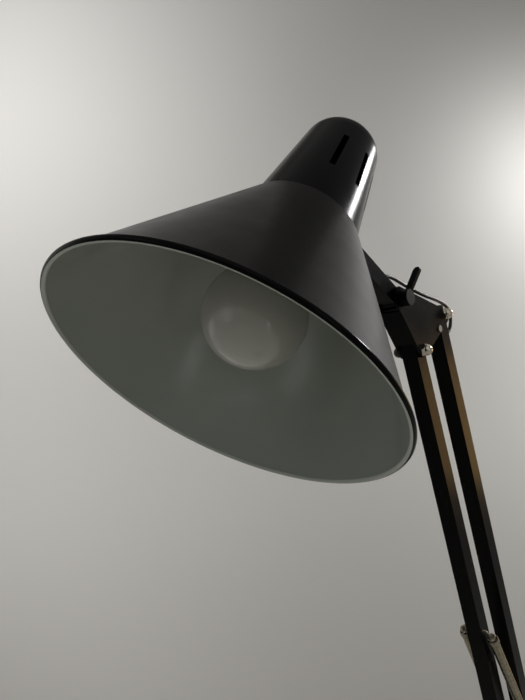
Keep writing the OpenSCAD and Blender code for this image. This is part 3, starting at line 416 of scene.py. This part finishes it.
# The lead's points in millimetres: the cap's in the shade's frame, the others from a pivot beside them
CAP_LEAD = [(-29.3, -6, 160), (-42, -6, 160), (-56, -5.6, 160.5), (-70, -5.2, 161.5)]
HEAD_LEAD = [(8.5, -4.5, 19.2), (-6.5, -4, 19.8), (-22.5, -3.5, 17.6)]
BRACKET_LEAD = [(-22.5, -3.5, 17.6), (-37.5, -2.5, 14.9), (-52, -1, 12.8), (-65, 0, 11.9), (-78, 0, 11.1),
                (-89, 0, 8.8), (-95, 0, 4.4), (-96.6, 0, -2.8), (-92.5, 0, -12)]
ELBOW_LEAD_UP = [(-51.5, 0, 111), (-62, 0, 108.5), (-69, 0, 100), (-72, 0, 88), (-73, 0, 74), (-73, 0, 58),
                 (-73, 0, 40)]
ELBOW_LEAD_LOW = [(-73, 0, 40), (-73, 0, 24), (-72, 0, 9), (-69, 0, -6), (-65, 0, -19), (-59, 0, -28.5),
                  (-51.5, 0, -31.3)]
TURRET_LEAD = [(4, 0, 26), (10.5, 0, 25), (15, 0, 18), (18.5, 0, 7), (21, 0, -7), (22.6, 0, -19)]


def beside(place, offsets):
    return [place + Vector(offset) * MM for offset in offsets]


def lead(name, points):
    """A stretch of lead through the points, which takes the place of its solid."""
    made = wire(name, points, LEAD_DIAMETER, LEAD_SIDES, lead_black)
    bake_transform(made)
    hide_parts(name.replace("_sleeve", ""))


def make_leads():
    inside = TUBE_WIDTH / 2 - TUBE_WALL
    from_cap = [shade_frame @ (Vector(place) * MM) for place in CAP_LEAD]
    over_knuckle = beside(knuckle, HEAD_LEAD)
    over_bracket = beside(knuckle, BRACKET_LEAD)
    lead("head_lead_sleeve", from_cap + over_knuckle)
    bracket_hole = head_rear - HEAD_HOLE * upper_up - inside * upper_way
    lead("bracket_lead_sleeve", over_bracket + [bracket_hole])
    upper_hole = elbow_top_rear + LEAD_HOLE * upper_up - inside * upper_way
    elbow_up = beside(elbow_low_front, ELBOW_LEAD_UP)
    lead("elbow_lead_upper_sleeve", [upper_hole] + elbow_up)
    lower_hole = elbow_low_rear - LEAD_HOLE * lower_up - inside * lower_way
    elbow_low = beside(elbow_low_front, ELBOW_LEAD_LOW)
    lead("elbow_lead_lower_sleeve", elbow_low + [lower_hole])
    turret_hole = turret_rear + TURRET_HOLE * lower_up + inside * lower_way
    turret_loop = beside(turret_rear, TURRET_LEAD)
    down = [Vector((0, 0, TURRET_FLOOR + LEAD_ABOVE_FLOOR)), Vector((0, 0, TURRET_FLOOR - LEAD_BELOW_FLOOR))]
    lead("turret_lead_sleeve", [turret_hole] + turret_loop + down)


make_leads()

# Balance springs: a hook in the tube's side, a small ring, a wider collar, a close-wound body and an eye
SPRING_WIRE = 1.3 * MM
SPRING_SIDES = 8
COIL_PITCH = 1.02 * SPRING_WIRE
BODY_RADIUS = 3.25 * MM
RING_RADIUS = 2.1 * MM
COLLAR_RADIUS = 3.9 * MM
EYE_RADIUS = 3.45 * MM
RING_RISE = 2.2 * MM
COLLAR_RISE = 3.8 * MM
CURL_POINTS = 20
SPRING_TAIL = 10 * MM
SPRING_SIDE_AT_ARM = 12 * MM
SPRING_SIDE_AT_PIN = 14 * MM
UPPER_SPRING_AT = 243 * MM
LOWER_SPRING_AT = 230 * MM
SPRING_HOLE_SET = 3.5 * MM
# Hook: how far it reaches into the tube and out of it, its bend outside, and where the first ring starts
HOOK_IN = 3 * MM
HOOK_OUT = 2.6 * MM
HOOK_BEND_DROP = 2.2 * MM
HOOK_BEND_SET = 0.6 * MM
RING_DROP = 5 * MM
RING_SET = 2.3 * MM
# Eye: the straight stretch before it, and its open turn
EYE_LEAD_IN = 5 * MM
EYE_POINTS = 13
EYE_POINT_TURN = 20


def spring_route(hole, up, way, eye, side):
    """The wire of one spring from the tip of its hook to the end of its eye."""
    across = Vector((0, side, 0))
    first = hole - RING_DROP * up - RING_SET * way + SPRING_SIDE_AT_ARM * across
    end = eye + SPRING_SIDE_AT_PIN * across
    along = (end - first).normalized()
    out = along.cross(Vector((0, 1, 0))).normalized()
    other = along.cross(out)
    body_start = 2 * RING_RISE + COLLAR_RISE + RING_RISE
    body = (end - first).length - SPRING_TAIL - body_start
    # Turns, axial length and radius at the end of each stretch
    stretches = [(1, RING_RISE, RING_RADIUS),
                 (0.5, RING_RISE, COLLAR_RADIUS),
                 (2.5, COLLAR_RISE, COLLAR_RADIUS),
                 (1, RING_RISE, BODY_RADIUS),
                 (int(body / COIL_PITCH), body, BODY_RADIUS)]
    points = [hole + (TUBE_WIDTH / 2 - HOOK_IN) * across,
              hole + (TUBE_WIDTH / 2 + HOOK_OUT) * across,
              hole - HOOK_BEND_DROP * up + (SPRING_SIDE_AT_ARM - HOOK_BEND_SET) * across]
    turned = 0.0
    risen = 0.0
    radius = RING_RADIUS
    for turns, rise, last_radius in stretches:
        steps = int(turns * CURL_POINTS)
        for step in range(steps):
            part = step / steps
            angle = math.tau * (turned + turns * part)
            curl = radius + (last_radius - radius) * part
            points.append(first + (risen + rise * part) * along
                          + curl * (math.cos(angle) * out + math.sin(angle) * other))
        turned += turns
        risen += rise
        radius = last_radius
    points.append(end - EYE_LEAD_IN * along + EYE_RADIUS * out)
    for step in range(EYE_POINTS):
        angle = math.radians(EYE_POINT_TURN * step)
        points.append(end + EYE_RADIUS * (math.cos(angle) * out + math.sin(angle) * along))
    return points


def make_springs(level, hole, up, way, eye):
    for side, word in ((1, "left"), (-1, "right")):
        made = wire(f"{level}_spring_{word}", spring_route(hole, up, way, eye, side), SPRING_WIRE,
                    SPRING_SIDES, spring_painted_shade_finish, smooth=False)
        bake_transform(made)
        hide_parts(f"{level}_springs")


upper_spring_hole = head_front - UPPER_SPRING_AT * upper_up + SPRING_HOLE_SET * upper_way
lower_spring_hole = turret_front + LOWER_SPRING_AT * lower_up + SPRING_HOLE_SET * lower_way
make_springs("upper", upper_spring_hole, upper_up, upper_way, elbow_top_rear)
make_springs("lower", lower_spring_hole, lower_up, lower_way, turret_rear)

# Shade cone, in millimetres: textured black outside, gloss black round the rolled rim, pale enamel inside
CONE_RADIUS = 98.4
CONE_TOP_RADIUS = 38.9
CONE_HEIGHT = 115
CONE_WALL = 1
BEAD_RADIUS = 1.6
TOP_HOLE_RADIUS = 20.05
SHOULDER_ROUND = 2
PAINT_EDGE = -80
SHADE_STEPS = 192
SHOULDER_STEPS = 8
BEAD_OUTER_STEPS = 28
BEAD_INNER_STEPS = 24


def make_shade():
    rise = math.degrees(math.atan2(CONE_HEIGHT, CONE_TOP_RADIUS - CONE_RADIUS))
    outward = rise - 90
    wall_x = CONE_WALL / math.cos(math.radians(outward))
    turn_in = SHOULDER_ROUND * math.tan(math.radians((90 - outward) / 2))
    shoulder = (CONE_TOP_RADIUS - turn_in, CONE_HEIGHT - SHOULDER_ROUND)
    inner_angle = rise + math.degrees(math.asin(CONE_WALL / BEAD_RADIUS))
    bead = (CONE_RADIUS, 0)
    rolled = arc(bead, BEAD_RADIUS, rise, PAINT_EDGE, BEAD_OUTER_STEPS)
    outside = [(TOP_HOLE_RADIUS, CONE_HEIGHT)]
    outside += arc(shoulder, SHOULDER_ROUND, 90, outward, SHOULDER_STEPS)
    outside += [rolled[0]]
    inside = arc(bead, BEAD_RADIUS, PAINT_EDGE, inner_angle - 360, BEAD_INNER_STEPS)
    slope = (CONE_TOP_RADIUS - CONE_RADIUS) / CONE_HEIGHT
    inside += [(CONE_TOP_RADIUS - slope * CONE_WALL - wall_x, CONE_HEIGHT - CONE_WALL)]
    inside += [(TOP_HOLE_RADIUS, CONE_HEIGHT - CONE_WALL), (TOP_HOLE_RADIUS, CONE_HEIGHT)]
    made = spun("shade_shell", [outside, rolled, inside], [shade_black, rim_black, shade_pale],
                SHADE_STEPS)
    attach(made, "shade")
    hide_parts("shade_cone")


make_shade()

# Bulb, in millimetres: a round frosted envelope that runs into its neck
BULB_RADIUS = 30
BULB_HEIGHT = 47
BULB_FLARE = 42
BULB_ARC_STEPS = 40
BULB_STEPS = 96
NECK_RADIUS = 13.5
NECK_END = 95
NECK_SWELL = 1.2
NECK_SWELL_AT = 0.55
GLASS_THICKNESS = 0.8


def bulb_profile(inset):
    round_part = arc((0, BULB_HEIGHT), BULB_RADIUS - inset, -90, BULB_FLARE, BULB_ARC_STEPS)
    neck_start = round_part[-1][1]
    swell = (NECK_RADIUS - inset + NECK_SWELL, neck_start + (NECK_END - neck_start) * NECK_SWELL_AT)
    return round_part + [swell, (NECK_RADIUS - inset, NECK_END)]


def make_bulb():
    outer = bulb_profile(0)
    inner = bulb_profile(GLASS_THICKNESS)
    made = spun("bulb_envelope", [outer, inner, [outer[-1], inner[-1]]], [bulb_finish] * 3,
                BULB_STEPS)
    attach(made, "shade")
    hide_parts("bulb_glass")


make_bulb()

# Stage, in metres and watts: a pale wall behind the lamp, a pale floor and soft light
WALL_BACK = 2.45
WALL_WIDTH = 6.8
WALL_HEIGHT = 7
FLOOR_SIZE = 24
FLOOR_SEEN = 0.24
CLOUD_SCALE = 0.45
SHEET_ROUGHNESS = 0.9
ROOM_LIGHT = 0.14
ROOM_SEEN = 0.5
# A slanting strip behind the cap, whose long highlight shows on it: the directions of its two ends
CAP_MIDDLE = 0.165
STRIP_REACH = 2
STRIP_NEAR = Vector((-0.838, 0.382, 0.391))
STRIP_FAR = Vector((-0.886, 0.125, 0.446))
STRIP_WIDTH = 0.15
STRIP_POWER = 20
# A broad light over the camera
FRONT_REACH = 2.6
FRONT_RISE = 1.6
FRONT_SIZE = 2.6
FRONT_POWER = 7
# Two windows on the left and a strip below: direction from the rim, width, height and power
HEAD_LAMP_REACH = 1.7
HEAD_LAMPS = {
    "window_left": ((0.974, -0.207, 0.087), 0.6, 1.2, 1.0),
    "window_side": ((0.374, -0.927, 0.035), 0.9, 1.2, 1.4),
    "strip_right": ((0.2, 0.97, -0.25), 0.25, 0.9, 1.0),
}
# A warm card, which only reflections show: it stands behind the upper ends of the arm tubes
CARD_DROP = 0.1
CARD_REACH = 2.2
CARD_WAY = Vector((-0.918, 0.39, 0.02))
CARD_WIDTH = 0.95
CARD_HEIGHT = 0.6
CARD_POWER = 5.7
# Lamps that face the wall: how far right, how high, how far from it, how wide, and their power
WALL_LAMPS = {
    "wall_left": (-1.8, 3.2, 1.8, 1.2, 38),
    "wall_right": (1.65, 2.8, 0.72, 0.5, 7.6),
    "wall_right_low": (1.8, 1.5, 1.3, 0.9, 11),
    "wall_low": (-1.4, 0.9, 1.2, 1.2, 5.5),
}


def seen_rays(tree):
    """1 for rays from the camera, from a glossy surface or through glass, and 0 for the rays that light
    the object."""
    path = add(tree, "ShaderNodeLightPath").outputs
    seen = path["Is Camera Ray"]
    for ray in ("Is Glossy Ray", "Is Transmission Ray"):
        seen = add(tree, "ShaderNodeMath", {"operation": "MAXIMUM"}, links={0: seen, 1: path[ray]}).outputs[0]
    return seen


def stage_sheet(name, width, height, matrix, colours, pale=0):
    """A level sheet, set by a matrix. Seen rays find it paler by the given strength."""
    finish, tree, shader, place = new_finish(name, Roughness=SHEET_ROUGHNESS)
    cloud = add(tree, "ShaderNodeTexNoise", inputs={"Scale": CLOUD_SCALE, "Detail": 1.0},
                links={"Vector": place})
    drift = add(tree, "ShaderNodeMapRange",
                inputs={"From Min": NOISE_LOW, "From Max": NOISE_HIGH, "To Min": 0, "To Max": 1},
                links={"Value": cloud.outputs["Fac"]})
    tone = add(tree, "ShaderNodeMix", {"data_type": "RGBA"}, {6: paint(colours[0]), 7: paint(colours[1])},
               {0: drift.outputs["Result"]})
    tree.links.new(tone.outputs[2], shader.inputs["Base Color"])
    if pale:
        glow = add(tree, "ShaderNodeMath", {"operation": "MULTIPLY"}, {1: pale}, {0: seen_rays(tree)})
        tree.links.new(tone.outputs[2], shader.inputs["Emission Color"])
        tree.links.new(glow.outputs[0], shader.inputs["Emission Strength"])
    sheet = bmesh.new()
    bmesh.ops.create_grid(sheet, x_segments=1, y_segments=1, size=0.5)
    bmesh.ops.scale(sheet, vec=(width, height, 1), verts=sheet.verts)
    sheet.transform(matrix)
    mesh = bpy.data.meshes.new(name)
    sheet.to_mesh(mesh)
    sheet.free()
    mesh.materials.append(finish)
    made = bpy.data.objects.new(name, mesh)
    bpy.context.collection.objects.link(made)


def soft_lamp(name, place, target, width, height, power, colour="#ffffff", along=None, lit=True):
    """A soft lamp that shines from place to target. Its width is level, or lies along the given direction.
    One that isn't lit shows only in reflections, as a coloured card does."""
    aim = (place - target).normalized()
    side = along or Vector((0, 0, 1)).cross(aim)
    side = (side - side.dot(aim) * aim).normalized()
    light = bpy.data.lights.new(name, "AREA")
    light.shape = "RECTANGLE"
    light.size = width
    light.size_y = height
    light.energy = power
    light.color = paint(colour)[:3]
    made = bpy.data.objects.new(name, light)
    made.matrix_world = Matrix.Translation(place) @ Matrix((side, aim.cross(side), aim)).transposed().to_4x4()
    made.visible_camera = False
    made.visible_diffuse = lit
    bpy.context.collection.objects.link(made)


def make_lamps(back, right):
    cap = shade_frame @ Vector((0, 0, CAP_MIDDLE))
    strip_near = cap + STRIP_REACH * STRIP_NEAR
    strip_far = cap + STRIP_REACH * STRIP_FAR
    strip = strip_far - strip_near
    soft_lamp("cap_strip", (strip_near + strip_far) / 2, cap, strip.length, STRIP_WIDTH, STRIP_POWER,
              along=strip)
    over_camera = rim_centre - FRONT_REACH * back + Vector((0, 0, FRONT_RISE))
    soft_lamp("front_light", over_camera, rim_centre, FRONT_SIZE, FRONT_SIZE, FRONT_POWER)
    for name, (way, width, height, power) in HEAD_LAMPS.items():
        soft_lamp(name, rim_centre + HEAD_LAMP_REACH * Vector(way), rim_centre, width, height, power)
    tubes = head_front - CARD_DROP * upper_up
    soft_lamp("warm_card", tubes + CARD_REACH * CARD_WAY, tubes, CARD_WIDTH, CARD_HEIGHT, CARD_POWER,
              colour="#d9a85c", lit=False)
    for name, (across, height, gap, width, power) in WALL_LAMPS.items():
        spot = back * WALL_BACK + across * right + Vector((0, 0, height))
        soft_lamp(name, spot - gap * back, spot, width, width, power)


def make_room():
    """The world: pale where it is seen, and weak where it lights the object."""
    world = bpy.data.worlds.new("soft_room")
    world.use_nodes = True
    tree = world.node_tree
    room = tree.nodes["Background"].inputs
    room["Color"].default_value = paint("#e8e6e2")
    level = add(tree, "ShaderNodeMapRange", inputs={"To Min": ROOM_LIGHT, "To Max": ROOM_SEEN},
                links={"Value": seen_rays(tree)})
    tree.links.new(level.outputs["Result"], room["Strength"])
    bpy.context.scene.world = world


def make_stage():
    facing = Matrix.Rotation(CAMERA_HEADING, 4, "Z") @ Matrix.Rotation(math.radians(90), 4, "X")
    back = facing.to_3x3() @ Vector((0, 0, -1))
    right = facing.to_3x3() @ Vector((1, 0, 0))
    wall_middle = back * WALL_BACK + Vector((0, 0, WALL_HEIGHT / 2))
    stage_sheet("wall", WALL_WIDTH, WALL_HEIGHT, Matrix.Translation(wall_middle) @ facing,
                ("#cac8c3", "#d6d4d0"))
    stage_sheet("floor", FLOOR_SIZE, FLOOR_SIZE, Matrix.Identity(4), ("#cfcdc8", "#d6d4cf"), FLOOR_SEEN)
    make_lamps(back, right)
    make_room()


make_stage()
bpy.context.scene.view_settings.view_transform = "Standard"
